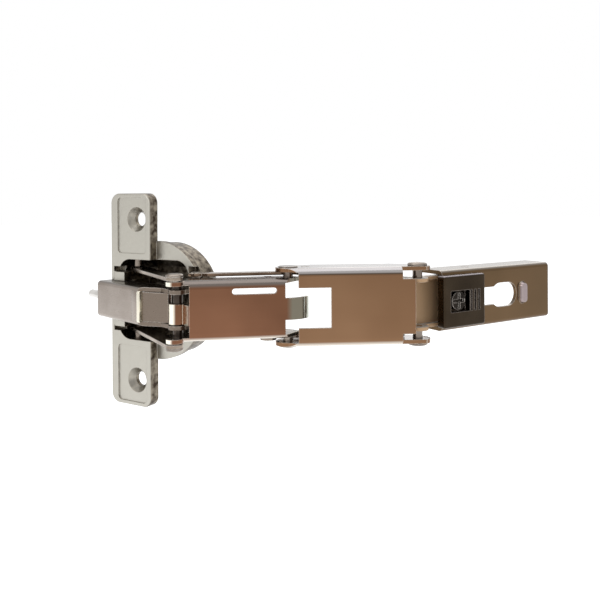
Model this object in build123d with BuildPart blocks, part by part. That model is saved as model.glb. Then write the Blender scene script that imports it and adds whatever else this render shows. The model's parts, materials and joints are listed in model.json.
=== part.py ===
from build123d import *
from math import cos, sin, radians, degrees, atan2
import os

os.makedirs("parts", exist_ok=True)

# Concealed wide-angle cup hinge, modelled fully open.
# +Z is the direction of every pivot, +X runs along the arm into the cabinet,
# +Y points at the side panel. The origin is on the arm's seat, at the keyhole.

# Open position and travel, in degrees
opening = 153.5
mid_direction = 151.9
front_direction = 157.0
mid_travel = 138.0
front_travel = -165.0
cup_link_closed = -14.0

# Pivots
arm_reach = 34.5
pivot_height = 8.0
mid_length = 36.8
front_length = 30.4
cup_pivot_across = -12.1
cup_pivot_level = -0.4
front_pivot_across = 16.9
front_pivot_level = 7.5
inner_link_crank = 6.0
knee_link_crank = 5.0
inner_cup_crank = 5.0

# Layers from the middle plane outwards
sheet = 1.15
strap_sheet = 0.95
running_gap = 0.3
cup_link_half = 5.4
front_half = 8.15
pin_radius = 1.4
thin_pin_radius = 1.2
pin_fit = 0.05
head_radius = 2.8
head_height = 0.9
flat_head_height = 0.3

# Cup
cup_radius = 17.5
body_radius = 16.8
body_chamfer = 3.0
cup_depth = 11.0
floor = 1.2
rim_level = -2.8
rim_height = 2.2
ear_thickness = 3.3
ear_left = -16.2
ear_width = 16.0
flange_length = 63.5
ear_corner = 3.0
panel_step = 0.35
panel_border = 1.2
panel_right_border = 1.7
panel_band = 2.9
hole_line = -5.9
hole_spacing = 48.0
screw_hole_radius = 2.1
countersink_radius = 3.7
cavity_left = -12.9
cavity_right = 12.0
cavity_half = 12.0
cavity_corner = 4.5
tail_slot_half = 5.5
tail_slot_level = -6.8
rod_slot_half = 1.8
pin_lug_right = -10.0
link_cutout_depth = 3.0
link_cutout_half = 10.5
pin_seat = 1.6
ear_edge = 0.6
relief_reach = 2.0
stub_seat = 1.8

# Outer cup link
cup_link_top = 5.3
cup_link_bottom = 2.6
cup_link_eye = 2.6
tail_length = 5.0
web_start = 14.2
wall_start = 12.5
wall_low = 6.1
tongue_start = 3.4
tongue_level = 0.9
tongue_half = 4.1
tongue_gap = 0.9

# Closing spring
rod_radius = 1.3
rod_level = 1.0
rod_stickout = 12.0
rod_start = 21.0
collar_height = 1.4
collar_radius = 2.8
spring_radius = 2.35
spring_wire = 0.4
spring_turns = 6

# Front link
front_top = 5.6
front_bottom = 2.5
front_web_start = 1.5
front_web_end = 3.0
front_eye = 3.2
curl_radius = 2.5
curl_bottom = -3.9
curl_width = 5.5
slot_start = 3.9
slot_end = 16.0
slot_centre = 5.1
slot_width = 1.6
rear_tongue_half = 3.0
rear_tongue_length = 5.4
rear_tongue_drop = 3.2

# Mid link
mid_top = 5.0
mid_bottom = 3.6
mid_wall_bottom = 6.5
mid_eye = 3.6
mid_bend = 2.2
mid_web_start = 1.6
mid_web_end = 2.6
mid_notch_length = 9.0
mid_notch_half = 5.5
corner_notch_length = 3.6
corner_notch_depth = 3.2

# Straps beside the links
strap_eye = 2.3
strap_width = 2.8
bow_depth = 2.0
bow_lead = 3.2

# Arm
arm_half = 8.8
arm_height = 9.1
arm_start = 8.5
arm_end = 20.8
arm_bend = 1.3
keyhole_length = 11.2
keyhole_width = 7.4
keyhole_neck_width = 5.4
keyhole_neck_end = -9.6
rib_offset = 8.4
rib_width = 3.2
rib_length = 7.0
rib_height = 1.1
inner_arm_half = 7.35
inner_arm_wall = 1.05
inner_arm_end = 27.0
inner_arm_floor = 3.1
inner_arm_rise = 0.6
inner_arm_eye = 3.1

# Saddle
saddle_start = 6.8
saddle_length = 16.6
saddle_half = 7.5
saddle_height = 2.7
recess_start = 2.6
recess_length = 7.6
recess_half = 3.1
recess_depth = 2.0
rib_pitch = 1.5
rib_groove = 0.7
groove_depth = 0.6
groove_count = 3
screw_head_radius = 2.7
screw_head_height = 1.3
screw_shank_radius = 1.9
screw_slot_width = 0.9
screw_slot_depth = 0.7
screw_clearance = 0.1
pivot_pin_inset = 5.0
pivot_pin_level = -4.8


def polar(radius, direction):
    return Vector(radius * cos(radians(direction)), radius * sin(radians(direction)), 0)


def direction_of(vector):
    return degrees(atan2(vector.Y, vector.X))


def link_plane(start, direction):
    return Plane(origin=start, x_dir=polar(1, direction), z_dir=(0, 0, 1))


def level(plane, height):
    return plane.offset(height)


# Layers that follow from the widths above
front_inner = front_half - sheet
strap_inner = front_half + running_gap
strap_outer = strap_inner + strap_sheet
mid_inner = strap_outer + running_gap
mid_half = mid_inner + sheet
cup_link_inner = cup_link_half - sheet

# Pivot axes, from the arm to the cup
arm_pivot = Vector(-arm_reach, -pivot_height, 0)
knee = arm_pivot + polar(mid_length, mid_direction)
front_pivot = knee + polar(front_length, front_direction)
mouth_normal = polar(1, -opening)
mouth_across = polar(1, 90 - opening)
mouth_centre = (
    front_pivot - mouth_across * front_pivot_across - mouth_normal * front_pivot_level
)
cup_pivot = mouth_centre + mouth_across * cup_pivot_across + mouth_normal * cup_pivot_level
cup_link_length = (cup_pivot - front_pivot).length
cup_link_direction = direction_of(cup_pivot - front_pivot)
cup_link_turn = cup_link_closed + 180 - cup_link_direction
cup_link_travel = cup_link_turn - mid_travel - front_travel
cup_travel = opening - cup_link_turn

# Second pivots: each strap lies parallel to its link at both ends of the travel
arm_half_turn = radians(mid_travel / 2)
knee_half_turn = radians(-front_travel / 2)
front_half_turn = radians(cup_link_travel / 2)
cup_half_turn = radians(cup_travel / 2)
inner_link_far_crank = inner_link_crank * sin(arm_half_turn) / sin(knee_half_turn)
knee_link_far_crank = knee_link_crank * sin(knee_half_turn) / sin(front_half_turn)
inner_cup_far_crank = inner_cup_crank * sin(front_half_turn) / sin(cup_half_turn)
inner_link_arm_pivot = arm_pivot + polar(
    inner_link_crank, mid_direction - 90 + degrees(arm_half_turn)
)
inner_link_knee_pivot = knee + polar(
    inner_link_far_crank, mid_direction - 90 + degrees(knee_half_turn)
)
knee_link_mid_pivot = knee + polar(
    knee_link_crank, front_direction - 90 - degrees(knee_half_turn)
)
knee_link_cup_pivot = front_pivot + polar(
    knee_link_far_crank, front_direction - 90 - degrees(front_half_turn)
)
inner_cup_front_pivot = front_pivot + polar(
    inner_cup_crank, cup_link_direction + 90 + degrees(front_half_turn)
)
inner_cup_cup_pivot = cup_pivot + polar(
    inner_cup_far_crank, cup_link_direction - 90 - degrees(cup_half_turn)
)

arm_plane = link_plane(arm_pivot, 0)
mid_plane = link_plane(arm_pivot, mid_direction)
front_plane = link_plane(knee, front_direction)
cup_link_plane = link_plane(front_pivot, cup_link_direction)
mouth_plane = Plane(origin=mouth_centre, x_dir=mouth_across, z_dir=mouth_normal)


def local(plane, point):
    place = plane.to_local_coords(point)
    return (place.X, place.Y)


def channel(plane, start, end, half, wall, top, bottom, bend):
    """A U section swept along a link: its web faces +y of the link's plane."""
    section = Plane(
        origin=plane.from_local_coords((start, 0, 0)), x_dir=(0, 0, -1), z_dir=plane.x_dir
    )
    with BuildSketch(section) as profile:
        with Locations((0, (top - bottom) / 2)):
            Rectangle(2 * half, top + bottom)
        fillet(vertices().group_by(Axis.Y)[-1], bend)
        with BuildSketch(mode=Mode.PRIVATE) as inside:
            with Locations((0, (top - wall - bottom) / 2)):
                Rectangle(2 * (half - wall), top - wall + bottom)
            fillet(vertices().group_by(Axis.Y)[-1], bend - wall)
        add(inside.sketch, mode=Mode.SUBTRACT)
    extrude(profile.sketch, amount=end - start)


def cut_box(plane, x_from, x_to, y_from, y_to, z_from, z_to):
    """Cuts a box given in a link's own plane."""
    with BuildSketch(level(plane, z_from)) as profile:
        with Locations(((x_from + x_to) / 2, (y_from + y_to) / 2)):
            Rectangle(x_to - x_from, y_to - y_from)
    extrude(profile.sketch, amount=z_to - z_from, mode=Mode.SUBTRACT)


def bore(plane, point, radius, half):
    """Cuts a pivot hole right through a link."""
    with BuildSketch(plane) as profile:
        with Locations(local(plane, point)):
            Circle(radius)
    extrude(profile.sketch, amount=half, both=True, mode=Mode.SUBTRACT)


def pin_at(point, bottom, top, radius):
    """A plain pin along Z at a pivot."""
    with BuildSketch(Plane(origin=(point.X, point.Y, bottom))) as profile:
        Circle(radius)
    extrude(profile.sketch, amount=top - bottom)


def strap(plane, first, second, bow_start, bow_end, bow_level, bottom, top):
    """A flat strap between two eyes, bowed away from the pins that it passes."""
    with BuildSketch(level(plane, bottom)) as profile:
        with BuildLine():
            Polyline(
                (first[0], first[1] + thin_pin_radius / 2),
                (bow_start, bow_level),
                (bow_end, bow_level),
                (second[0], second[1] + thin_pin_radius / 2),
                (second[0], second[1] - strap_eye),
                (bow_end, bow_level - strap_width),
                (bow_start, bow_level - strap_width),
                (first[0], first[1] - strap_eye),
                close=True,
            )
        make_face()
        with Locations(first, second):
            Circle(strap_eye)
    extrude(profile.sketch, amount=top - bottom)
    with BuildSketch(level(plane, bottom)) as holes:
        with Locations(first, second):
            Circle(thin_pin_radius + pin_fit)
    extrude(holes.sketch, amount=top - bottom, mode=Mode.SUBTRACT)


def save(part, label):
    part.label = label
    export_step(part, f"parts/{label}.step")
    return part


def outline(plane, points, eyes, radius, half):
    """Trims a channel to its side view: a polygon with round eyes."""
    with BuildSketch(plane) as profile:
        with BuildLine():
            Polyline(*points, close=True)
        make_face()
        with Locations(*eyes):
            Circle(radius)
    extrude(profile.sketch, amount=half, both=True, mode=Mode.INTERSECT)


# Cup housing, one casting
cavity_floor = floor - ear_thickness - cup_depth
flange_centre = ear_left + ear_width / 2
ear_start = cavity_half + panel_border / 2
ear_end = flange_length / 2
panel_left = ear_left + panel_band
panel_right = ear_left + ear_width - panel_right_border
panel_bottom = ear_start + panel_border
panel_top = ear_end - panel_border
with BuildPart() as cup_housing:
    with BuildSketch(level(mouth_plane, -ear_thickness)):
        with Locations((flange_centre, 0)):
            RectangleRounded(ear_width, flange_length, ear_corner)
    extrude(amount=ear_thickness)
    fillet(faces().sort_by(Axis(mouth_centre, mouth_normal))[-1].edges(), ear_edge)
    with BuildSketch(level(mouth_plane, rim_level - rim_height)):
        Circle(cup_radius)
    extrude(amount=rim_height)
    with BuildSketch(level(mouth_plane, -ear_thickness - cup_depth)):
        Circle(body_radius)
    extrude(amount=cup_depth + ear_thickness + rim_level - rim_height / 2)
    chamfer(faces().sort_by(Axis(mouth_centre, mouth_normal))[0].edges(), body_chamfer)
    for cavity_height, cavity_slope in ((cup_depth + ear_thickness, 0), (-body_chamfer, 45)):
        with BuildSketch(level(mouth_plane, cavity_floor + body_chamfer)):
            with Locations(((cavity_left + cavity_right) / 2, 0)):
                RectangleRounded(cavity_right - cavity_left, 2 * cavity_half, cavity_corner)
        extrude(amount=cavity_height, taper=cavity_slope, mode=Mode.SUBTRACT)
    # lugs that hold the outer link's pins, and the slot for its tail
    with BuildSketch(level(mouth_plane, cavity_floor)):
        with Locations(((cavity_left + pin_lug_right) / 2, 0)):
            Rectangle(pin_lug_right - cavity_left + sheet, 2 * front_half)
    extrude(amount=cup_pivot_level + pin_seat - cavity_floor)
    slot_right = pin_lug_right + sheet
    for slot_left, slot_level, slot_half in (
        (cavity_left, cavity_floor, tail_slot_half),
        (-2 * cup_radius, tail_slot_level, tail_slot_half),
        (-2 * cup_radius, cavity_floor, rod_slot_half),
    ):
        with BuildSketch(level(mouth_plane, slot_level)):
            with Locations(((slot_left + slot_right) / 2, 0)):
                Rectangle(slot_right - slot_left, 2 * slot_half)
        extrude(amount=2 * cup_depth, mode=Mode.SUBTRACT)
    # low wall on the side where the links cross the rim
    with BuildSketch(level(mouth_plane, rim_level - link_cutout_depth)):
        with Locations((cavity_right + cup_radius / 2, 0)):
            Rectangle(cup_radius, 2 * link_cutout_half)
    extrude(amount=2 * link_cutout_depth, mode=Mode.SUBTRACT)
    # screw ears: sunk panels and countersunk holes
    for side in (-1, 1):
        with BuildSketch(level(mouth_plane, -panel_step)):
            with Locations(
                ((panel_left + panel_right) / 2, side * (panel_bottom + panel_top) / 2)
            ):
                RectangleRounded(
                    panel_right - panel_left, panel_top - panel_bottom, panel_border
                )
        extrude(amount=panel_step, mode=Mode.SUBTRACT)
        with Locations(level(mouth_plane, -panel_step)):
            with Locations((hole_line, side * hole_spacing / 2)):
                CounterSinkHole(screw_hole_radius, countersink_radius)
        with BuildSketch(Plane(origin=(inner_cup_cup_pivot.X, inner_cup_cup_pivot.Y,
                                       side * (cavity_half - sheet)))):
            Circle(thin_pin_radius)
        extrude(amount=side * (sheet + stub_seat), mode=Mode.SUBTRACT)
        # relief for the plates of the inner link
        with BuildSketch(level(mouth_plane, rim_level)):
            with Locations((cavity_left, side * (strap_inner + strap_outer) / 2)):
                Rectangle(2 * relief_reach, strap_sheet + 2 * running_gap)
        extrude(amount=ear_thickness, mode=Mode.SUBTRACT)
    bore(cup_link_plane, cup_pivot, thin_pin_radius, front_half)
save(cup_housing.part, "cup_housing")

with BuildPart() as outer_link_pins:
    pin_at(cup_pivot, cup_link_inner, front_half, thin_pin_radius)
    pin_at(cup_pivot, -front_half, -cup_link_inner, thin_pin_radius)
save(outer_link_pins.part, "outer_link_pins")

with BuildPart() as inner_link_stubs:
    pin_at(inner_cup_cup_pivot, mid_inner, cavity_half + stub_seat, thin_pin_radius)
    pin_at(inner_cup_cup_pivot, -cavity_half - stub_seat, -mid_inner, thin_pin_radius)
save(inner_link_stubs.part, "inner_link_stubs")

# Outer cup link: a folded channel with an end wall that guides the rod
tail_end = cup_link_length + tail_length
strap_pin = local(cup_link_plane, knee_link_cup_pivot)
with BuildPart() as outer_cup_link:
    with BuildSketch(cup_link_plane):
        with BuildLine():
            Polyline(
                (0, -cup_link_bottom),
                (tail_end, -cup_link_bottom),
                (tail_end, cup_link_top),
                (wall_start, cup_link_top),
                (wall_low, thin_pin_radius + running_gap),
                (0, thin_pin_radius + running_gap),
                close=True,
            )
        make_face()
        Circle(cup_link_eye)
        with Locations(strap_pin):
            Circle(strap_eye)
        with BuildLine():
            Polyline(
                (-cup_link_eye, 0),
                (strap_pin[0] - strap_eye, strap_pin[1]),
                (strap_pin[0] + strap_eye, strap_pin[1]),
                (strap_pin[0] + 2 * strap_eye, 0),
                close=True,
            )
        make_face()
    extrude(amount=cup_link_half, both=True)
    top_edges = edges().filter_by(
        lambda e: abs(cup_link_plane.to_local_coords(e.center()).Y - cup_link_top) < 0.01
    )
    fillet(top_edges.filter_by(Axis(front_pivot, cup_link_plane.x_dir)), sheet)
    cut_box(
        cup_link_plane, -2 * tail_length, tail_end - sheet,
        -2 * tail_length, cup_link_top - sheet, -cup_link_inner, cup_link_inner,
    )
    cut_box(
        cup_link_plane, -tail_length, wall_start, 0, 2 * cup_link_top,
        -cup_link_inner, cup_link_inner,
    )
    # tongue that slopes down from the web to the front pivot
    with BuildSketch(cup_link_plane):
        with BuildLine():
            Polyline(
                (web_start, cup_link_top),
                (wall_start, cup_link_top),
                (tongue_start, tongue_level),
                (tongue_start, tongue_level - sheet),
                (wall_start, cup_link_top - sheet),
                (web_start, cup_link_top - sheet),
                close=True,
            )
        make_face()
    extrude(amount=tongue_half, both=True)
    cut_box(
        cup_link_plane, web_start - tongue_gap, web_start, cup_link_top - sheet,
        2 * cup_link_top, -tongue_half, tongue_half,
    )
    bore(cup_link_plane, front_pivot, pin_radius + pin_fit, cup_link_half)
    bore(cup_link_plane, cup_pivot, thin_pin_radius + pin_fit, cup_link_half)
    bore(cup_link_plane, knee_link_cup_pivot, thin_pin_radius, cup_link_half)
    with BuildSketch(Plane(origin=cup_link_plane.from_local_coords((tail_end, rod_level, 0)),
                           z_dir=cup_link_plane.x_dir)):
        Circle(rod_radius + pin_fit)
    extrude(amount=-tail_length, mode=Mode.SUBTRACT)
save(outer_cup_link.part, "outer_cup_link")

# Closing spring on its guide rod, inside the outer cup link
rod_plane = Plane(
    origin=cup_link_plane.from_local_coords((rod_start, rod_level, 0)),
    z_dir=cup_link_plane.x_dir,
)
rod_length = tail_end + rod_stickout - rod_start
spring_length = tail_end - sheet - rod_start - collar_height
with BuildPart() as guide_rod:
    with BuildSketch(rod_plane):
        Circle(collar_radius)
    extrude(amount=collar_height)
    with BuildSketch(rod_plane):
        Circle(rod_radius)
    extrude(amount=rod_length)
    chamfer(faces().sort_by(Axis(front_pivot, cup_link_plane.x_dir))[-1].edges(), rod_radius / 4)
save(guide_rod.part, "guide_rod")

spring_plane = level(rod_plane, collar_height + spring_wire)
spring_pitch = (spring_length - 2 * spring_wire) / spring_turns
with BuildPart() as closing_spring:
    with BuildLine():
        coil = Helix(
            spring_pitch, spring_length - 2 * spring_wire, spring_radius,
            center=spring_plane.origin, direction=spring_plane.z_dir,
        )
    with BuildSketch(Plane(origin=coil @ 0, z_dir=coil % 0)):
        Rectangle(2 * spring_wire, 2 * spring_wire)
    sweep(path=coil, is_frenet=True)
save(closing_spring.part, "closing_spring")

# Front link
front_tongue = front_length - front_web_end
link_pin = local(front_plane, inner_cup_front_pivot)
with BuildPart() as front_link:
    channel(
        front_plane, -front_eye, front_length + front_eye, front_half, sheet,
        front_top, front_eye, mid_bend,
    )
    outline(
        front_plane,
        [
            (0, -front_eye),
            (front_length * 0.6, -front_bottom),
            (front_length, -front_bottom),
            (front_length + front_bottom, 0),
            (link_pin[0] + strap_eye, link_pin[1]),
            (front_length - front_web_end, front_top),
            (front_web_start, front_top),
            (-front_eye, 0),
        ],
        [(0, 0), (front_length, 0)],
        front_bottom,
        front_half,
    )
    cut_box(
        front_plane, -2 * front_eye, front_web_start, -front_top, 2 * front_top,
        -front_inner, front_inner,
    )
    cut_box(
        front_plane, front_tongue, 2 * front_length, -front_top, 2 * front_top,
        -front_inner, front_inner,
    )
    with BuildSketch(
        Plane(
            origin=front_plane.from_local_coords(((slot_start + slot_end) / 2, 0, slot_centre)),
            x_dir=front_plane.x_dir,
            z_dir=front_plane.y_dir,
        )
    ):
        SlotOverall(slot_end - slot_start, slot_width)
    extrude(amount=2 * front_top, mode=Mode.SUBTRACT)
    # ears for the rivets of the inner cup link
    for bottom in (front_inner, -front_half):
        with BuildSketch(level(front_plane, bottom)):
            with Locations(link_pin):
                Circle(strap_eye)
            with BuildLine():
                Polyline(
                    (link_pin[0] - strap_eye, link_pin[1]),
                    (front_length - front_bottom, 0),
                    (front_length + front_bottom, 0),
                    (link_pin[0] + strap_eye, link_pin[1]),
                    close=True,
                )
            make_face()
        extrude(amount=sheet)
    # rolled eye at the front and the curved tongue at the rear
    with BuildSketch(level(front_plane, curl_bottom)):
        with BuildLine():
            Polyline(
                (front_tongue - sheet, front_top),
                (front_tongue, front_top),
                (front_length - curl_radius / 2, curl_radius * 0.85),
                (front_length, 0),
                (front_length - curl_radius * 0.95, curl_radius * 0.3),
                (front_tongue - sheet, front_top - sheet),
                close=True,
            )
        make_face()
        with Locations((front_length, 0)):
            Circle(curl_radius)
    extrude(amount=curl_width)
    with BuildSketch(front_plane):
        with BuildLine():
            Line((front_web_start + sheet, front_top), (front_web_start, front_top))
            outer_arc = ThreePointArc(
                (front_web_start, front_top),
                (-rear_tongue_length / 2, front_top - rear_tongue_drop / 4),
                (-rear_tongue_length, front_top - rear_tongue_drop),
            )
            Line(outer_arc @ 1, (-rear_tongue_length + sheet / 2, front_top - rear_tongue_drop - sheet))
            ThreePointArc(
                (-rear_tongue_length + sheet / 2, front_top - rear_tongue_drop - sheet),
                (-rear_tongue_length / 2, front_top - rear_tongue_drop / 4 - sheet),
                (front_web_start + sheet, front_top - sheet),
            )
            Line((front_web_start + sheet, front_top - sheet), (front_web_start + sheet, front_top))
        make_face()
    extrude(amount=rear_tongue_half, both=True)
    bore(front_plane, knee, pin_radius + pin_fit, front_half)
    bore(front_plane, front_pivot, pin_radius + pin_fit, front_half)
    bore(front_plane, inner_link_knee_pivot, thin_pin_radius, front_half)
    bore(front_plane, inner_cup_front_pivot, thin_pin_radius, front_half)
save(front_link.part, "front_link")

with BuildPart() as front_pin:
    pin_at(front_pivot, -front_half, front_half, pin_radius)
save(front_pin.part, "front_pin")

# Rivets of the front link: a shank through the strap, flush or with a low head
with BuildPart() as inner_cup_rivets:
    for side in (-1, 1):
        with BuildSketch(Plane(origin=(inner_cup_front_pivot.X, inner_cup_front_pivot.Y,
                                       side * front_inner))):
            Circle(thin_pin_radius)
        extrude(amount=side * (strap_outer - front_inner + head_height))
        with BuildSketch(Plane(origin=(inner_cup_front_pivot.X, inner_cup_front_pivot.Y,
                                       side * (strap_outer + pin_fit)))):
            Circle(head_radius - head_height / 2)
        extrude(amount=side * head_height)
save(inner_cup_rivets.part, "inner_cup_rivets")

with BuildPart() as inner_link_knee_rivet:
    pin_at(inner_link_knee_pivot, -front_half, head_height - front_inner, thin_pin_radius)
save(inner_link_knee_rivet.part, "inner_link_knee_rivet")

with BuildPart() as knee_link_rivet:
    pin_at(knee_link_cup_pivot, cup_link_inner, front_half, thin_pin_radius)
save(knee_link_rivet.part, "knee_link_rivet")

# Inner cup link: two plates, one on each side
inner_cup_plane = link_plane(
    inner_cup_front_pivot, direction_of(inner_cup_cup_pivot - inner_cup_front_pivot)
)
for label, bottom in (
    ("inner_cup_link_upper", strap_inner),
    ("inner_cup_link_lower", -strap_outer),
):
    with BuildPart() as inner_cup_link:
        with BuildSketch(level(inner_cup_plane, bottom)):
            with Locations((0, 0), local(inner_cup_plane, inner_cup_cup_pivot)):
                Circle(strap_eye)
            make_hull()
            with Locations((0, 0)):
                Circle(thin_pin_radius + pin_fit, mode=Mode.SUBTRACT)
            with Locations(local(inner_cup_plane, inner_cup_cup_pivot)):
                Circle(thin_pin_radius, mode=Mode.SUBTRACT)
        extrude(amount=strap_sheet)
    save(inner_cup_link.part, label)

# Straps that steer the knee
with BuildPart() as knee_link:
    first = local(front_plane, knee_link_mid_pivot)
    second = local(front_plane, knee_link_cup_pivot)
    strap(
        front_plane, first, second, first[0] + bow_lead, second[0] - bow_lead,
        -bow_depth, strap_inner, strap_outer,
    )
save(knee_link.part, "knee_link")

with BuildPart() as inner_link:
    first = local(mid_plane, inner_link_arm_pivot)
    second = local(mid_plane, inner_link_knee_pivot)
    strap(
        mid_plane, first, second, first[0] + bow_lead, second[0] - bow_lead,
        -bow_depth, -strap_outer, -strap_inner,
    )
save(inner_link.part, "inner_link")

# Mid link, a wide channel with ears at both ends
web_right = mid_web_start
web_left = mid_length - mid_web_end
with BuildPart() as mid_link:
    channel(
        mid_plane, -mid_eye, mid_length + mid_eye, mid_half, sheet,
        mid_top, mid_wall_bottom, mid_bend,
    )
    outline(
        mid_plane,
        [
            (0, -mid_bottom),
            (mid_wall_bottom, -mid_wall_bottom),
            (mid_length - mid_wall_bottom, -mid_wall_bottom),
            (mid_length, -mid_bottom),
            (mid_length + mid_eye, 0),
            (mid_length, mid_bottom),
            (web_left, mid_top),
            (web_right, mid_top),
            (-mid_eye, 0),
        ],
        [(0, 0), (mid_length, 0)],
        mid_eye,
        mid_half,
    )
    cut_box(
        mid_plane, -2 * mid_eye, web_right, -mid_top, 2 * mid_top, -mid_inner, mid_inner,
    )
    cut_box(
        mid_plane, web_left, 2 * mid_length, -mid_top, 2 * mid_top, -mid_inner, mid_inner,
    )
    with BuildSketch(level(mid_plane, -mid_notch_half)) as notch:
        with Locations((web_left - mid_notch_length / 2 + mid_notch_half / 2, 0)):
            Rectangle(mid_notch_length + mid_notch_half, 3 * mid_top)
    extrude(notch.sketch, amount=2 * mid_notch_half, mode=Mode.SUBTRACT)
    for side in (-1, 1):
        with BuildSketch(level(mid_plane, side * mid_half)) as corner:
            with Locations((web_right, mid_top)):
                Rectangle(2 * corner_notch_length, 2 * sheet + mid_bend)
        extrude(corner.sketch, amount=-side * corner_notch_depth, mode=Mode.SUBTRACT)
    bore(mid_plane, arm_pivot, pin_radius + pin_fit, mid_half)
    bore(mid_plane, knee, pin_radius + pin_fit, mid_half)
    bore(mid_plane, knee_link_mid_pivot, thin_pin_radius, mid_half)
save(mid_link.part, "mid_link")


def headed_rivets(point, inner, outer, radius, height):
    """A pair of rivets, one through each wall, with heads on the outside."""
    for side in (-1, 1):
        with BuildSketch(Plane(origin=(point.X, point.Y, side * inner))) as shank:
            Circle(radius)
        extrude(shank.sketch, amount=side * (outer + pin_fit - inner))
        with BuildSketch(Plane(origin=(point.X, point.Y, side * (outer + pin_fit)))) as head:
            Circle(head_radius)
        extrude(head.sketch, amount=side * height, taper=20)


with BuildPart() as knee_rivets:
    headed_rivets(knee, front_inner, mid_half, pin_radius, flat_head_height)
save(knee_rivets.part, "knee_rivets")

with BuildPart() as knee_link_mid_rivet:
    pin_at(knee_link_mid_pivot, strap_inner, mid_half + pin_fit, thin_pin_radius)
save(knee_link_mid_rivet.part, "knee_link_mid_rivet")

# Places along the arm
pivot_pin = Vector(inner_arm_end - arm_reach - pivot_pin_inset, pivot_pin_level, 0)
seat_plane = Plane(origin=(0, 0, 0), x_dir=(1, 0, 0), z_dir=(0, -1, 0))
face_plane = seat_plane.offset(arm_height)
arm_front = arm_start - arm_reach
saddle_front = saddle_start - arm_reach
saddle_centre = saddle_front + saddle_length / 2
recess_centre = saddle_front + recess_start + recess_length / 2


def screw_hole():
    """The clearance hole for the screw that sets the overlay."""
    with BuildSketch(level(face_plane, saddle_height)) as hole:
        with Locations((recess_centre, 0)):
            Circle(screw_shank_radius + screw_clearance)
    extrude(hole.sketch, amount=-2 * arm_height, mode=Mode.SUBTRACT)


# Inner arm: a channel open to the front, whose ears carry the mid link
inner_arm_inside = inner_arm_half - inner_arm_wall
strap_seat = local(arm_plane, inner_link_arm_pivot)
with BuildPart() as inner_arm:
    with BuildSketch(arm_plane):
        with BuildLine():
            Polyline(
                (0, inner_arm_eye),
                (inner_arm_end, inner_arm_floor),
                (inner_arm_end, inner_arm_rise),
                (inner_arm_eye, inner_arm_rise),
                (0, 0),
                close=True,
            )
        make_face()
        Circle(inner_arm_eye)
    extrude(amount=inner_arm_half, both=True)
    with BuildSketch(arm_plane):
        with Locations((0, 0), strap_seat):
            Circle(strap_eye)
        make_hull()
    extrude(amount=inner_arm_half, both=True)
    cut_box(
        arm_plane, -4 * inner_arm_eye, -pin_radius, -2 * inner_arm_eye, 4 * inner_arm_eye,
        -inner_arm_inside, inner_arm_inside,
    )
    cut_box(
        arm_plane, -2 * pin_radius, 2 * inner_arm_end, -2 * inner_arm_eye,
        inner_arm_floor - inner_arm_wall,
        -inner_arm_inside, inner_arm_inside,
    )
    bore(arm_plane, arm_pivot, pin_radius, inner_arm_half)
    bore(arm_plane, inner_link_arm_pivot, thin_pin_radius, inner_arm_half)
    bore(arm_plane, pivot_pin, thin_pin_radius, inner_arm_half)
    screw_hole()
save(inner_arm.part, "inner_arm")

with BuildPart() as arm_rivets:
    headed_rivets(arm_pivot, inner_arm_inside, mid_half, pin_radius, head_height)
save(arm_rivets.part, "arm_rivets")

with BuildPart() as inner_link_arm_rivet:
    pin_at(inner_link_arm_pivot, -strap_outer, -inner_arm_inside, thin_pin_radius)
save(inner_link_arm_rivet.part, "inner_link_arm_rivet")

# Mounting arm
with BuildPart() as mounting_arm:
    channel(
        link_plane(Vector(0, 0, 0), 180), -arm_end, -arm_front, arm_half, sheet,
        arm_height, 0, arm_bend,
    )
    with BuildSketch(face_plane):
        SlotOverall(keyhole_length, keyhole_width)
        with Locations((keyhole_neck_end / 2, 0)):
            Rectangle(-keyhole_neck_end, keyhole_neck_width)
    extrude(amount=-2 * sheet, mode=Mode.SUBTRACT)
    with BuildSketch(face_plane):
        with Locations((rib_offset, 0)):
            SlotOverall(rib_length, rib_width, rotation=90)
    extrude(amount=rib_height, taper=25)
    bore(arm_plane, pivot_pin, thin_pin_radius, arm_half)
    screw_hole()
save(mounting_arm.part, "mounting_arm")

# Saddle block on the arm's front end
with BuildPart() as saddle_block:
    with BuildSketch(face_plane):
        with Locations((saddle_centre, 0)):
            RectangleRounded(saddle_length, 2 * saddle_half, rib_groove)
    extrude(amount=saddle_height)
    fillet(faces().sort_by(Axis.Y)[0].edges(), groove_depth)
    with BuildSketch(level(face_plane, saddle_height)):
        with Locations((recess_centre, 0)):
            Rectangle(recess_length, 2 * recess_half)
    extrude(amount=-recess_depth, mode=Mode.SUBTRACT)
    with BuildSketch(level(face_plane, saddle_height)):
        with Locations((recess_centre + recess_length / 2 + rib_pitch * groove_count / 2, 0)):
            with GridLocations(rib_pitch, 0, groove_count, 1):
                Rectangle(rib_groove, 2 * recess_half)
    extrude(amount=-groove_depth, mode=Mode.SUBTRACT)
    screw_hole()
save(saddle_block.part, "saddle_block")

# Screw that sets the overlay: its head sits in the saddle's recess
recess_floor = level(face_plane, saddle_height - recess_depth)
screw_reach = arm_height + saddle_height - recess_depth + inner_arm_floor - pivot_height
with BuildPart() as side_adjusting_screw:
    with BuildSketch(recess_floor):
        with Locations((recess_centre, 0)):
            Circle(screw_head_radius)
    extrude(amount=screw_head_height)
    with BuildSketch(level(recess_floor, screw_head_height)):
        with Locations((recess_centre, 0)):
            Rectangle(2 * screw_head_radius - screw_slot_width, screw_slot_width)
            Rectangle(screw_slot_width, 2 * screw_head_radius - screw_slot_width)
    extrude(amount=-screw_slot_depth, mode=Mode.SUBTRACT)
    with BuildSketch(recess_floor):
        with Locations((recess_centre, 0)):
            Circle(screw_shank_radius)
    extrude(amount=-screw_reach)
save(side_adjusting_screw.part, "side_adjusting_screw")

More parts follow.
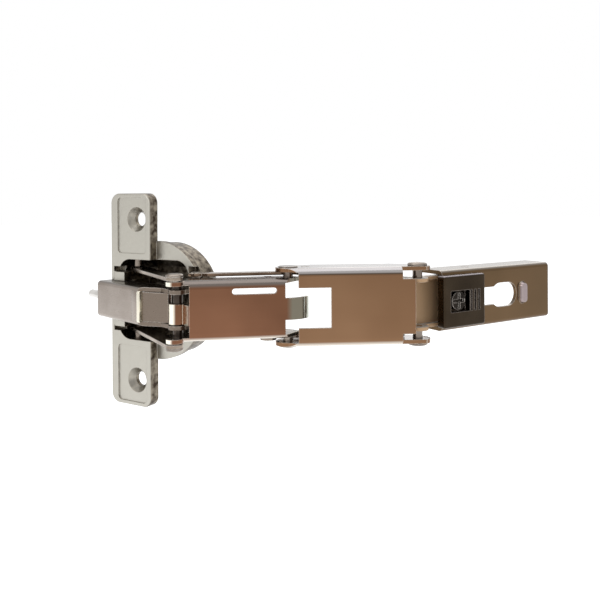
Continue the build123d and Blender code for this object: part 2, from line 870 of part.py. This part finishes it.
# Cross pin through both arms, about which the inner arm tilts when adjusted
with BuildPart() as adjusting_pivot_pin:
    pin_at(pivot_pin, pin_fit - arm_half, arm_half - pin_fit, thin_pin_radius)
save(adjusting_pivot_pin.part, "adjusting_pivot_pin")
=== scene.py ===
import bpy
import json
import math
from mathutils import Vector, Matrix


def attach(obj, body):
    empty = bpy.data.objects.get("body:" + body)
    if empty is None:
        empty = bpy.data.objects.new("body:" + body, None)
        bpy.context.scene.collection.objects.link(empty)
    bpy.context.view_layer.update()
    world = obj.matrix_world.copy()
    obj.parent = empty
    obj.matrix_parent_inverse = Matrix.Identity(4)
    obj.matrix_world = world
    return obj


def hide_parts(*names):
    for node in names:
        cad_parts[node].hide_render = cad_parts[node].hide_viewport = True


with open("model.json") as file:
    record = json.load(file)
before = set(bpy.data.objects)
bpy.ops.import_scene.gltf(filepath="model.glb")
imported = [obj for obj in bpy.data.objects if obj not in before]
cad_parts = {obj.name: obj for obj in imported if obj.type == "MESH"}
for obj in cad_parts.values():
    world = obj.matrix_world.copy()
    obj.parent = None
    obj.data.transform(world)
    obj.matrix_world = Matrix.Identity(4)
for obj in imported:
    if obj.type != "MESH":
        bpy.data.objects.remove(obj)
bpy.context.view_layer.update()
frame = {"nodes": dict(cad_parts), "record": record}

nodes = frame["nodes"]
record = frame["record"]
joints = {joint["name"]: joint for joint in record["behaviour"]["joints"]}
mounts = {mount["name"]: mount for mount in record["mounts"]}
print("frame loaded:", len(nodes), "nodes")

# camera and room

camera = {
    "place": (-0.16953, -0.15884, 0.03060),
    "yaw": 32.69,  # degrees from +Y towards +X
    "pitch": -0.14,
    "roll": -0.30,
    "focal": 703.7,  # pixels on a 600 pixel frame
    "shiftX": 3.7,
    "shiftY": -101.9,
    "frameSize": 600.0,
    "sensor": 36.0,
    "nearest": 0.005,
    "furthest": 20.0,
}


def placeCamera(v):
    data = bpy.data.cameras.new("photoCamera")
    eye = bpy.data.objects.new("photoCamera", data)
    bpy.context.scene.collection.objects.link(eye)
    data.sensor_width = v["sensor"]
    data.lens = v["focal"] / v["frameSize"] * v["sensor"]
    data.shift_x = -v["shiftX"] / v["frameSize"]
    data.shift_y = v["shiftY"] / v["frameSize"]
    data.clip_start = v["nearest"]
    data.clip_end = v["furthest"]
    yaw, pitch, roll = (math.radians(v[k]) for k in ("yaw", "pitch", "roll"))
    forward = Vector((math.sin(yaw) * math.cos(pitch), math.cos(yaw) * math.cos(pitch), math.sin(pitch)))
    right = Vector((math.cos(yaw), -math.sin(yaw), 0))
    up = right.cross(forward)
    rolledRight = right * math.cos(roll) + up * math.sin(roll)
    rolledUp = up * math.cos(roll) - right * math.sin(roll)
    turn = Matrix((rolledRight, rolledUp, -forward)).transposed().to_4x4()
    eye.matrix_world = Matrix.Translation(Vector(v["place"])) @ turn
    bpy.context.scene.camera = eye


placeCamera(camera)
bpy.context.scene.view_settings.view_transform = "Standard"
print("camera placed")

room = {
    "floorLevel": -0.085,
    "floorSize": 6.0,
    "floorColour": (0.86, 0.86, 0.86, 1),
    "skyFill": 0.62,
    "white": 1.0,
    "fillTint": (0.96, 0.98, 1.0, 1),
    "floorGlow": 0.62,
}


def linkNodes(tree, *pairs):
    for outSocket, inSocket in pairs:
        tree.links.new(outSocket, inSocket)


def seenDirectly(tree):
    path = tree.nodes.new("ShaderNodeLightPath")
    first = tree.nodes.new("ShaderNodeMath")
    first.operation = "MAXIMUM"
    second = tree.nodes.new("ShaderNodeMath")
    second.operation = "MAXIMUM"
    linkNodes(
        tree,
        (path.outputs["Is Camera Ray"], first.inputs[0]),
        (path.outputs["Is Glossy Ray"], first.inputs[1]),
        (first.outputs[0], second.inputs[0]),
        (path.outputs["Is Transmission Ray"], second.inputs[1]),
    )
    return second.outputs[0]


def makeRoom(v):
    world = bpy.data.worlds.new("studioWorld")
    bpy.context.scene.world = world
    world.use_nodes = True
    tree = world.node_tree
    tree.nodes.clear()
    fill = tree.nodes.new("ShaderNodeBackground")
    fill.inputs["Color"].default_value = v["fillTint"]
    fill.inputs["Strength"].default_value = v["skyFill"]
    white = tree.nodes.new("ShaderNodeBackground")
    white.inputs["Color"].default_value = (1, 1, 1, 1)
    white.inputs["Strength"].default_value = v["white"]
    mix = tree.nodes.new("ShaderNodeMixShader")
    out = tree.nodes.new("ShaderNodeOutputWorld")
    linkNodes(
        tree,
        (seenDirectly(tree), mix.inputs[0]),
        (fill.outputs[0], mix.inputs[1]),
        (white.outputs[0], mix.inputs[2]),
        (mix.outputs[0], out.inputs[0]),
    )
    bpy.ops.mesh.primitive_plane_add(size=v["floorSize"], location=(0, 0, v["floorLevel"]))
    floor = bpy.context.active_object
    floor.name = "studioFloor"
    material = bpy.data.materials.new("studioFloor")
    material.use_nodes = True
    tree = material.node_tree
    tree.nodes.clear()
    diffuse = tree.nodes.new("ShaderNodeBsdfDiffuse")
    diffuse.inputs["Color"].default_value = v["floorColour"]
    glow = tree.nodes.new("ShaderNodeEmission")
    glow.inputs["Color"].default_value = (1, 1, 1, 1)
    level = tree.nodes.new("ShaderNodeMath")
    level.operation = "MULTIPLY"
    level.inputs[1].default_value = v["floorGlow"]
    both = tree.nodes.new("ShaderNodeAddShader")
    out = tree.nodes.new("ShaderNodeOutputMaterial")
    linkNodes(
        tree,
        (seenDirectly(tree), level.inputs[0]),
        (level.outputs[0], glow.inputs["Strength"]),
        (diffuse.outputs[0], both.inputs[0]),
        (glow.outputs[0], both.inputs[1]),
        (both.outputs[0], out.inputs[0]),
    )
    floor.data.materials.append(material)


makeRoom(room)

lamps = {
    "overhead": {"at": (-0.05, 0.10, 0.75), "size": (0.9, 0.7), "watts": 2.2, "tint": (0.94, 0.96, 1.0)},
    "leftSide": {"at": (-0.70, -0.10, 0.30), "size": (0.3, 0.4), "watts": 0.55, "tint": (1.0, 0.98, 0.95)},
    "rightBack": {"at": (0.50, 0.45, 0.40), "size": (0.5, 0.5), "watts": 0.8, "tint": (1.0, 0.97, 0.93)},
}
lampTarget = Vector((-0.045, 0.012, 0.0))


def placeLamps(lampSet):
    for name, v in lampSet.items():
        data = bpy.data.lights.new(name, "AREA")
        data.shape = "RECTANGLE"
        data.size, data.size_y = v["size"]
        data.energy = v["watts"]
        data.color = v["tint"]
        lamp = bpy.data.objects.new(name, data)
        bpy.context.scene.collection.objects.link(lamp)
        lamp.location = v["at"]
        lamp.rotation_euler = (lampTarget - Vector(v["at"])).to_track_quat("-Z", "Y").to_euler()


placeLamps(lamps)
print("room and lamps made")

# shared shader effects


def newGroup(name, inputs, outputs):
    group = bpy.data.node_groups.new(name, "ShaderNodeTree")
    for socketName, kind, value in inputs:
        socket = group.interface.new_socket(name=socketName, in_out="INPUT", socket_type=kind)
        socket.default_value = value
    for socketName, kind in outputs:
        group.interface.new_socket(name=socketName, in_out="OUTPUT", socket_type=kind)
    start = group.nodes.new("NodeGroupInput")
    end = group.nodes.new("NodeGroupOutput")
    return group, start, end


# edges and bends take each finish's edge colour: a painted highlight, and a painted dark outline on the
# bright rod
edgeLightValues = {
    "radius": 0.0004,
    "amount": 1.0,
    "samples": 6,
    "flat": 0.995,  # cosine between the true and the softened normal
    "edgeLit": 0.80,
}


def makeEdgeLight(v):
    group, start, end = newGroup(
        "paintedEdgeLight",
        [("Radius", "NodeSocketFloat", v["radius"]), ("Amount", "NodeSocketFloat", v["amount"])],
        [("Mask", "NodeSocketFloat"), ("Normal", "NodeSocketVector")],
    )
    soft = group.nodes.new("ShaderNodeBevel")
    soft.samples = v["samples"]
    geometry = group.nodes.new("ShaderNodeNewGeometry")
    dot = group.nodes.new("ShaderNodeVectorMath")
    dot.operation = "DOT_PRODUCT"
    away = group.nodes.new("ShaderNodeMapRange")
    away.inputs["From Min"].default_value = v["flat"]
    away.inputs["From Max"].default_value = v["edgeLit"]
    scale = group.nodes.new("ShaderNodeMath")
    scale.operation = "MULTIPLY"
    scale.use_clamp = True
    linkNodes(
        group,
        (start.outputs["Radius"], soft.inputs["Radius"]),
        (soft.outputs["Normal"], dot.inputs[0]),
        (geometry.outputs["Normal"], dot.inputs[1]),
        (dot.outputs["Value"], away.inputs["Value"]),
        (away.outputs[0], scale.inputs[0]),
        (start.outputs["Amount"], scale.inputs[1]),
        (scale.outputs[0], end.inputs["Mask"]),
        (soft.outputs["Normal"], end.inputs["Normal"]),
    )
    return group


grainValues = {
    "turn": 0.0,
    "scale": 900.0,
    "blotch": 70.0,
    "stretch": (0.05, 1.0, 1.0),
    "detail": 3.0,
}


def makeGrain(v):
    group, start, end = newGroup(
        "rollingGrain",
        [
            ("Turn", "NodeSocketFloat", v["turn"]),
            ("Scale", "NodeSocketFloat", v["scale"]),
            ("Blotch", "NodeSocketFloat", v["blotch"]),
        ],
        [("Lines", "NodeSocketFloat"), ("Cloud", "NodeSocketFloat")],
    )
    place = group.nodes.new("ShaderNodeTexCoord")
    turn = group.nodes.new("ShaderNodeVectorRotate")
    turn.rotation_type = "Z_AXIS"
    stretch = group.nodes.new("ShaderNodeVectorMath")
    stretch.operation = "MULTIPLY"
    stretch.inputs[1].default_value = v["stretch"]
    fine = group.nodes.new("ShaderNodeTexNoise")
    fine.inputs["Detail"].default_value = v["detail"]
    broad = group.nodes.new("ShaderNodeTexNoise")
    broad.inputs["Detail"].default_value = v["detail"]
    linkNodes(
        group,
        (place.outputs["Object"], turn.inputs["Vector"]),
        (start.outputs["Turn"], turn.inputs["Angle"]),
        (turn.outputs[0], stretch.inputs[0]),
        (stretch.outputs[0], fine.inputs["Vector"]),
        (start.outputs["Scale"], fine.inputs["Scale"]),
        (place.outputs["Object"], broad.inputs["Vector"]),
        (start.outputs["Blotch"], broad.inputs["Scale"]),
        (fine.outputs["Fac"], end.inputs["Lines"]),
        (broad.outputs["Fac"], end.inputs["Cloud"]),
    )
    return group


def makeAlong(name, source):
    # 0 to 1 as the surface's normal or its place goes from Start to Stop along a direction
    group, start, end = newGroup(
        name,
        [
            ("Direction", "NodeSocketVector", (0, 0, 1)),
            ("Start", "NodeSocketFloat", 0.0),
            ("Stop", "NodeSocketFloat", 1.0),
        ],
        [("Mask", "NodeSocketFloat")],
    )
    place = group.nodes.new("ShaderNodeTexCoord")
    dot = group.nodes.new("ShaderNodeVectorMath")
    dot.operation = "DOT_PRODUCT"
    ramp = group.nodes.new("ShaderNodeMapRange")
    linkNodes(
        group,
        (place.outputs[source], dot.inputs[0]),
        (start.outputs["Direction"], dot.inputs[1]),
        (dot.outputs["Value"], ramp.inputs["Value"]),
        (start.outputs["Start"], ramp.inputs["From Min"]),
        (start.outputs["Stop"], ramp.inputs["From Max"]),
        (ramp.outputs[0], end.inputs["Mask"]),
    )
    return group


paintedEdgeLight = makeEdgeLight(edgeLightValues)
rollingGrain = makeGrain(grainValues)
facing = makeAlong("facing", "Normal")
placed = makeAlong("placed", "Object")


def useGroup(tree, group, **values):
    node = tree.nodes.new("ShaderNodeGroup")
    node.node_tree = group
    for key, value in values.items():
        node.inputs[key].default_value = value
    return node


def mixColour(tree, factor, low, high):
    mix = tree.nodes.new("ShaderNodeMix")
    mix.data_type = "RGBA"
    for socket, value in ((mix.inputs[0], factor), (mix.inputs[6], low), (mix.inputs[7], high)):
        if hasattr(value, "default_value"):
            tree.links.new(value, socket)
        else:
            socket.default_value = value
    return mix.outputs[2]


def mapRange(tree, value, low, high):
    node = tree.nodes.new("ShaderNodeMapRange")
    node.inputs["To Min"].default_value = low
    node.inputs["To Max"].default_value = high
    tree.links.new(value, node.inputs["Value"])
    return node.outputs[0]


def timesMask(tree, first, second):
    node = tree.nodes.new("ShaderNodeMath")
    node.operation = "MULTIPLY"
    linkNodes(tree, (first, node.inputs[0]), (second, node.inputs[1]))
    return node.outputs[0]


plainMetal = {
    "metallic": 1.0,
    "along": 0,  # degrees from +X
    "grain": 900.0,
    "blotch": 70.0,
    "soft": 0.0003,
    "edgeLight": 0.8,
    "relief": "Lines",
    "bump": 0.08,
    "depth": 0.00005,
    "cloudSpread": (-1.0, 2.0),
    "roughSpread": (0.75, 1.3),
    "tones": (),
}


def platedMetal(name, finish):
    v = {**plainMetal, **finish}
    material = bpy.data.materials.new(name)
    material.use_nodes = True
    tree = material.node_tree
    shader = tree.nodes["Principled BSDF"]
    shader.inputs["Metallic"].default_value = v["metallic"]
    grain = useGroup(
        tree, rollingGrain,
        Turn=math.radians(-v["along"]), Scale=v["grain"], Blotch=v["blotch"],
    )
    edgeLight = useGroup(tree, paintedEdgeLight, Radius=v["soft"], Amount=v["edgeLight"])
    cloud = mapRange(tree, grain.outputs["Cloud"], *v["cloudSpread"])
    colour = mixColour(tree, cloud, v["dark"], v["light"])
    for tone in v["tones"]:
        masks = []
        for group, key in ((facing, "facing"), (placed, "placed")):
            if key in tone:
                direction, low, high = tone[key]
                masks.append(useGroup(tree, group, Direction=direction, Start=low, Stop=high).outputs[0])
        mask = masks[0] if len(masks) == 1 else timesMask(tree, *masks)
        colour = mixColour(tree, mask, colour, tone["colour"])
    # edge colour along edges and bends: painted highlight, a painted dark outline on the bright rod
    edgeLit = mixColour(tree, edgeLight.outputs["Mask"], colour, v["edge"])
    tree.links.new(edgeLit, shader.inputs["Base Color"])
    smoothest, roughest = (v["rough"] * share for share in v["roughSpread"])
    rough = mapRange(tree, grain.outputs["Lines"], smoothest, roughest)
    tree.links.new(rough, shader.inputs["Roughness"])
    bump = tree.nodes.new("ShaderNodeBump")
    bump.inputs["Strength"].default_value = v["bump"]
    bump.inputs["Distance"].default_value = v["depth"]
    linkNodes(
        tree,
        (grain.outputs[v["relief"]], bump.inputs["Height"]),
        (edgeLight.outputs["Normal"], bump.inputs["Normal"]),
        (bump.outputs[0], shader.inputs["Normal"]),
    )
    return material


# directions of the links at rest, from their pivots

kneePivot, frontPivot, cupPivot = (
    Vector(joints[name]["pos_m"]) for name in ("knee_pivot", "front_pivot", "cup_pivot")
)
up = Vector((0, 0, 1))
frontAlong = (frontPivot - kneePivot).normalized()
cupLinkAlong = (cupPivot - frontPivot).normalized()
cupInwards = Vector(mounts["cup_outside"]["axis"])
mouth = -cupInwards
earThickness = 0.0033
mouthLevel = mouth.dot(Vector(mounts["flange_back"]["pos_m"])) + earThickness
frontFront = up.cross(frontAlong)
cupLinkFront = up.cross(cupLinkAlong)
kneePlace = frontAlong.dot(kneePivot)
frontPlace = frontAlong.dot(frontPivot)
linkPlace = cupLinkAlong.dot(frontPivot)
# direction of the painted highlight on the front link's eye
eyeTilt = 0.35
eyeLight = (frontAlong + frontFront * eyeTilt).normalized()

finishes = {
    # front link: nickel plating; its copper-brown base colours are a painted reflection of warm surroundings
    "nickelPaintedCopperReflection": {
        "dark": (0.098, 0.044, 0.024, 1), "light": (0.195, 0.092, 0.052, 1), "edge": (0.62, 0.54, 0.46, 1),
        "rough": 0.17, "along": 157, "blotch": 26.0,
        "tones": [
            # faces turned up in dark grey: painted reflection
            {"facing": (up, 0.15, 0.45), "colour": (0.16, 0.135, 0.120, 1)},
            # faces turned down in cream: painted highlight on the lower bend
            {"facing": (-up, 0.45, 0.85), "colour": (0.62, 0.56, 0.49, 1)},
            # curled end past the knee in grey: painted reflection; its last band lighter: painted highlight
            {"placed": (frontAlong, kneePlace + 0.0012, kneePlace - 0.0004),
             "colour": (0.165, 0.148, 0.112, 1)},
            {"placed": (frontAlong, kneePlace - 0.0036, kneePlace - 0.0040),
             "colour": (0.46, 0.47, 0.41, 1)},
            # eye faces turned this way in cream: painted highlight
            {"facing": (eyeLight, 0.55, 0.80),
             "placed": (frontAlong, frontPlace - 0.0028, frontPlace - 0.0024),
             "colour": (0.88, 0.84, 0.72, 1)},
        ],
    },
    # mid link: nickel plating; its brown base colours are a painted reflection of warm surroundings
    "nickelPaintedBrownReflection": {
        "dark": (0.165, 0.088, 0.046, 1), "light": (0.245, 0.140, 0.078, 1), "edge": (0.62, 0.56, 0.48, 1),
        "rough": 0.17, "along": 152, "blotch": 22.0,
        "tones": [
            # faces turned up: a dark line at the bend as painted shade, then lilac-grey as painted
            # reflection
            {"facing": (up, 0.12, 0.20), "colour": (0.090, 0.062, 0.042, 1)},
            {"facing": (up, 0.26, 0.42), "colour": (0.36, 0.34, 0.335, 1)},
            # faces turned down in cream: painted highlight on the lower bend
            {"facing": (-up, 0.35, 0.75), "colour": (0.62, 0.56, 0.49, 1)},
        ],
    },
    # mounting arm: nickel plating; its olive-brown base colours are a painted reflection of warm
    # surroundings
    "nickelPaintedOliveReflection": {
        "dark": (0.088, 0.056, 0.028, 1), "light": (0.134, 0.083, 0.044, 1), "edge": (0.50, 0.44, 0.38, 1),
        "rough": 0.20, "along": 0, "blotch": 28.0,
        "tones": [
            # faces turned up in grey: painted reflection
            {"facing": (up, 0.45, 0.85), "colour": (0.24, 0.215, 0.19, 1)},
            # the raised rib in lilac: painted highlight
            {"placed": ((0, -1, 0), 0.00925, 0.00975), "colour": (0.30, 0.245, 0.245, 1)},
        ],
    },
    # inner arm: nickel plating; its warm base is a painted reflection, made brighter as painted light
    # against the shade inside the arm
    "nickelPaintedInnerLight": {
        "dark": (0.470, 0.300, 0.165, 1), "light": (0.630, 0.415, 0.240, 1), "edge": (0.55, 0.48, 0.40, 1),
        "rough": 0.50, "along": 0, "blotch": 28.0, "metallic": 0.35,
        # faces turned up in pale grey: painted reflection
        "tones": [{"facing": (up, 0.45, 0.85), "colour": (0.50, 0.47, 0.43, 1)}],
    },
    "darkSteel": {
        "dark": (0.027, 0.019, 0.012, 1), "light": (0.046, 0.033, 0.021, 1), "edge": (0.24, 0.205, 0.18, 1),
        "rough": 0.26, "along": 0, "soft": 0.0003, "edgeLight": 1.0,
        # faces turned up in grey: painted light on the top
        "tones": [{"facing": (up, 0.45, 0.85), "colour": (0.24, 0.215, 0.23, 1)}],
    },
    "blackScrew": {
        "dark": (0.012, 0.010, 0.008, 1), "light": (0.040, 0.032, 0.026, 1), "edge": (0.55, 0.50, 0.45, 1),
        "rough": 0.22, "along": 0, "soft": 0.0003, "edgeLight": 1.0,
    },
    "castFlange": {
        "dark": (0.040, 0.028, 0.019, 1), "light": (0.260, 0.225, 0.175, 1), "edge": (0.46, 0.43, 0.37, 1),
        "rough": 0.36, "along": 64, "grain": 420.0, "blotch": 620.0, "relief": "Cloud",
        "bump": 0.5, "depth": 0.00016, "edgeLight": 0.8,
        "tones": [
            # faces turned to the mouth near its level are lightened; deeper faces inside the cup and the
            # side walls keep the dark base as painted shade
            {"facing": (mouth, 0.40, 0.90),
             "placed": (mouth, mouthLevel - 0.0042, mouthLevel - 0.0034),
             "colour": (0.455, 0.435, 0.385, 1)},
            # faces turned inwards lightened: painted light
            {"facing": (cupInwards, 0.30, 0.85), "colour": (0.400, 0.380, 0.335, 1)},
        ],
    },
    "greyBlock": {
        "dark": (0.250, 0.210, 0.180, 1), "light": (0.370, 0.325, 0.290, 1), "edge": (0.66, 0.61, 0.56, 1),
        "rough": 0.26, "along": 99, "blotch": 60.0,
        "tones": [
            # faces turned up darker: painted shade
            {"facing": (up, 0.45, 0.85), "colour": (0.15, 0.13, 0.115, 1)},
            # the web nearer the front pivot, sunk between the front link's ears, darker: painted shade
            {"placed": (cupLinkAlong, linkPlace + 0.0124, linkPlace + 0.0118),
             "colour": (0.172, 0.137, 0.110, 1)},
        ],
    },
    # knee link: plated strap; its brown base colours are a painted reflection of warm surroundings
    "strapPaintedBrownReflection": {
        "dark": (0.080, 0.052, 0.035, 1), "light": (0.240, 0.165, 0.115, 1), "edge": (0.72, 0.68, 0.62, 1),
        "rough": 0.18, "along": 157, "blotch": 90.0,
    },
    # its darker edge colour is a painted dark outline
    "brightRod": {
        "dark": (0.55, 0.53, 0.50, 1), "light": (0.80, 0.78, 0.75, 1), "edge": (0.30, 0.27, 0.25, 1),
        "rough": 0.14, "along": 101,
    },
    "darkPin": {
        "dark": (0.016, 0.012, 0.010, 1), "light": (0.060, 0.048, 0.040, 1), "edge": (0.50, 0.46, 0.41, 1),
        "rough": 0.20, "along": 0, "soft": 0.0002,
    },
    "brightStrap": {
        "dark": (0.155, 0.115, 0.085, 1), "light": (0.330, 0.275, 0.225, 1), "edge": (0.80, 0.78, 0.74, 1),
        "rough": 0.16, "along": 150, "blotch": 120.0,
    },
    "brightRivet": {
        "dark": (0.120, 0.096, 0.080, 1), "light": (0.300, 0.255, 0.215, 1), "edge": (0.70, 0.65, 0.59, 1),
        "rough": 0.18, "along": 0, "blotch": 160.0,
    },
    # cream finish of the block's lip: painted highlight
    "creamPaintedHighlight": {
        "dark": (0.62, 0.57, 0.46, 1), "light": (0.84, 0.80, 0.68, 1), "edge": (0.90, 0.87, 0.78, 1),
        "rough": 0.20, "along": 0,
    },
    "springWire": {
        "dark": (0.16, 0.15, 0.14, 1), "light": (0.30, 0.28, 0.26, 1), "edge": (0.5, 0.48, 0.45, 1),
        "rough": 0.25, "along": 99,
    },
}
metals = {name: platedMetal(name, v) for name, v in finishes.items()}

finishOf = {
    "front_link": "nickelPaintedCopperReflection",
    "mid_link": "nickelPaintedBrownReflection",
    "mounting_arm": "nickelPaintedOliveReflection",
    "inner_arm": "nickelPaintedInnerLight",
    "saddle_block": "darkSteel",
    "side_adjusting_screw": "blackScrew",
    "cup_housing": "castFlange",
    "outer_cup_link": "greyBlock",
    "inner_cup_link_upper": "brightStrap",
    "inner_cup_link_lower": "brightStrap",
    "knee_link": "strapPaintedBrownReflection",
    "inner_link": "brightStrap",
    "closing_spring": "springWire",
    "guide_rod": "brightRod",
    "front_pin": "darkPin",
}
for name, node in nodes.items():
    metal = metals[finishOf.get(name, "brightRivet")]
    if not node.material_slots:
        node.data.materials.append(metal)
    for part in node.material_slots:
        part.material = metal
print("metals made:", len(metals))

# detail pieces

smoothAngle = 35  # degrees
squareOn = 0.9  # cosine from which a face counts as facing a direction


def deselectAll():
    bpy.ops.object.select_all(action="DESELECT")


def makeActive(piece):
    deselectAll()
    piece.select_set(True)
    bpy.context.view_layer.objects.active = piece


def selectFaces(piece, wanted):
    bpy.ops.mesh.select_mode(type="FACE")
    bpy.ops.mesh.select_all(action="DESELECT")
    bpy.ops.object.mode_set(mode="OBJECT")
    for face in piece.data.polygons:
        face.select = wanted(face)
    bpy.ops.object.mode_set(mode="EDIT")


def settle(piece, name, metal, body):
    # place into the mesh, then name, finish and body
    makeActive(piece)
    bpy.ops.object.transform_apply(location=True, rotation=True, scale=True)
    piece.name = name
    piece.data.name = name
    piece.data.materials.clear()
    piece.data.materials.append(metals[metal])
    bpy.ops.object.shade_smooth_by_angle(angle=math.radians(smoothAngle))
    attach(piece, body)
    return piece


def roundEdges(piece, width, segments, angle):
    bevel = piece.modifiers.new("rounding", "BEVEL")
    bevel.width = width
    bevel.segments = segments
    bevel.limit_method = "ANGLE"
    bevel.angle_limit = math.radians(angle)
    makeActive(piece)
    bpy.ops.object.modifier_apply(modifier=bevel.name)


def joinPieces(pieces):
    deselectAll()
    for piece in pieces:
        piece.select_set(True)
    bpy.context.view_layer.objects.active = pieces[0]
    bpy.ops.object.join()
    return pieces[0]


def headedRivet(v, place, side):
    # shank with a crowned head and the small dimple that the riveting leaves
    bpy.ops.mesh.primitive_cylinder_add(
        vertices=v["sides"], radius=v["shank"], depth=v["outer"] - v["inner"],
        location=(place.x, place.y, side * (v["outer"] + v["inner"]) / 2),
    )
    piece = bpy.context.active_object
    bpy.ops.object.mode_set(mode="EDIT")
    selectFaces(piece, lambda face: face.normal.z * side > squareOn)
    grow = v["head"] / v["shank"]
    bpy.ops.mesh.extrude_region_move(TRANSFORM_OT_translate={"value": (0, 0, 0)})
    bpy.ops.transform.resize(value=(grow, grow, 1))
    for rise, width in v["crown"]:
        bpy.ops.mesh.extrude_region_move(TRANSFORM_OT_translate={"value": (0, 0, side * rise)})
        bpy.ops.transform.resize(value=(width, width, 1))
    bpy.ops.object.mode_set(mode="OBJECT")
    return piece


rivets = {
    "arm_rivets": {
        "pivot": "arm_pivot", "body": "arm", "sides": 48, "shank": 0.0014, "head": 0.0028,
        "inner": 0.0063, "outer": 0.0109,
        "crown": (
            (0.00045, 1.0), (0.00022, 0.93), (0.00013, 0.84),
            (0.00004, 0.60), (-0.00012, 0.80), (-0.00004, 0.50),
        ),
    },
    "inner_cup_rivets": {
        "pivot": "inner_cup_link_pivot", "body": "front_link", "sides": 48, "shank": 0.0012, "head": 0.00235,
        "inner": 0.0070, "outer": 0.00945,
        "crown": (
            (0.00045, 1.0), (0.00022, 0.92), (0.00013, 0.84),
            (0.00004, 0.60), (-0.00012, 0.80), (-0.00004, 0.50),
        ),
    },
}


def makeRivets(name, v):
    place = Vector(joints[v["pivot"]]["pos_m"])
    pair = joinPieces([headedRivet(v, place, side) for side in (1, -1)])
    piece = settle(pair, name + "Crowned", "brightRivet", v["body"])
    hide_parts(name)


for name, v in rivets.items():
    makeRivets(name, v)
print("rivets made:", len(rivets))

coil = {
    "wire": 0.0004,
    "radius": 0.00235,
    "turns": 6,
    "start": 0.0224,  # from the front pivot, along the outer cup link
    "stop": 0.0339,
    "level": 0.0010,
    "steps": 28,
    "wireSides": 10,
    "weld": 0.00001,
}


def makeCoil(v):
    length = v["stop"] - v["start"] - 2 * v["wire"]
    closed = 2 * v["wire"]  # rise of the closed turn at each end
    runs = (
        (0, closed, 1),
        (closed, length - 2 * closed, v["turns"] - 2),
        (length - closed, closed, 1),
    )
    pieces = []
    for low, rise, turns in runs:
        bpy.ops.mesh.primitive_circle_add(
            vertices=v["wireSides"], radius=v["wire"], location=(0, 0, 0), rotation=(math.pi / 2, 0, 0)
        )
        piece = bpy.context.active_object
        piece.location = (v["radius"], 0, low + v["wire"])
        bpy.ops.object.transform_apply(location=True, rotation=True, scale=True)
        screw = piece.modifiers.new("turns", "SCREW")
        screw.screw_offset = rise / turns
        screw.iterations = turns
        screw.steps = v["steps"]
        screw.render_steps = v["steps"]
        bpy.ops.object.modifier_apply(modifier=screw.name)
        pieces.append(piece)
    piece = joinPieces(pieces)
    bpy.ops.object.mode_set(mode="EDIT")
    bpy.ops.mesh.select_all(action="SELECT")
    bpy.ops.mesh.remove_doubles(threshold=v["weld"])
    bpy.ops.mesh.select_mode(type="EDGE")
    bpy.ops.mesh.select_all(action="DESELECT")
    bpy.ops.mesh.select_non_manifold(
        extend=False, use_wire=False, use_multi_face=False, use_non_contiguous=False, use_verts=False
    )
    bpy.ops.mesh.edge_face_add()
    bpy.ops.mesh.select_all(action="SELECT")
    bpy.ops.mesh.normals_make_consistent(inside=False)
    bpy.ops.object.mode_set(mode="OBJECT")
    piece.rotation_mode = "QUATERNION"
    piece.rotation_quaternion = cupLinkAlong.to_track_quat("Z", "Y")
    piece.location = frontPivot + cupLinkAlong * v["start"] + cupLinkFront * v["level"]
    settle(piece, "closingSpringCoil", "springWire", "outer_cup_link")
    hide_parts("closing_spring")


makeCoil(coil)
print("spring wound")

blockEdge = {
    "lipStart": 0.0108,  # from the front pivot, along the outer cup link
    "lipStop": 0.0121,
    "lipLow": 0.0044,
    "lipTop": 0.0057,
    "apronStop": 0.0150,
    "apronLow": 0.0050,
    "apronTop": 0.00545,
    "half": 0.0042,
    "overlap": 0.0002,
    "drawIn": 0.2,  # share of a bar's thickness
    "round": 0.00022,
    "roundSteps": 3,
    "apronFiner": 3,  # times smaller than the lip's round
    "apronRoundSteps": 2,
    "roundAngle": 30,  # degrees
}


def linkBar(start, stop, low, top, half, drawIn):
    # bar across the outer cup link, its two ends drawn in a little
    centre = frontPivot + cupLinkAlong * (start + stop) / 2 + cupLinkFront * (low + top) / 2
    bpy.ops.mesh.primitive_cube_add(size=1, location=centre)
    piece = bpy.context.active_object
    piece.scale = (stop - start, top - low, 2 * half)
    piece.rotation_euler = (0, 0, math.atan2(cupLinkAlong.y, cupLinkAlong.x))
    bpy.ops.object.transform_apply(location=True, rotation=True, scale=True)
    bpy.ops.object.mode_set(mode="EDIT")
    selectFaces(piece, lambda face: abs(face.normal.z) > squareOn)
    bpy.ops.mesh.inset(thickness=(top - low) * drawIn, depth=(top - low) * drawIn)
    bpy.ops.object.mode_set(mode="OBJECT")
    return piece


def makeBlockEdge(v):
    # turned-up lip at the end of the block, cream as a painted highlight on the block's end bend, and the
    # plate between it and the web
    lip = linkBar(v["lipStart"], v["lipStop"], v["lipLow"], v["lipTop"], v["half"], v["drawIn"])
    roundEdges(lip, v["round"], v["roundSteps"], v["roundAngle"])
    settle(lip, "blockLip", "creamPaintedHighlight", "outer_cup_link")
    apronStart = v["lipStop"] - v["overlap"]
    apron = linkBar(apronStart, v["apronStop"], v["apronLow"], v["apronTop"], v["half"], v["drawIn"])
    roundEdges(apron, v["round"] / v["apronFiner"], v["apronRoundSteps"], v["roundAngle"])
    settle(apron, "blockApron", "greyBlock", "outer_cup_link")


makeBlockEdge(blockEdge)
print("block edge made")
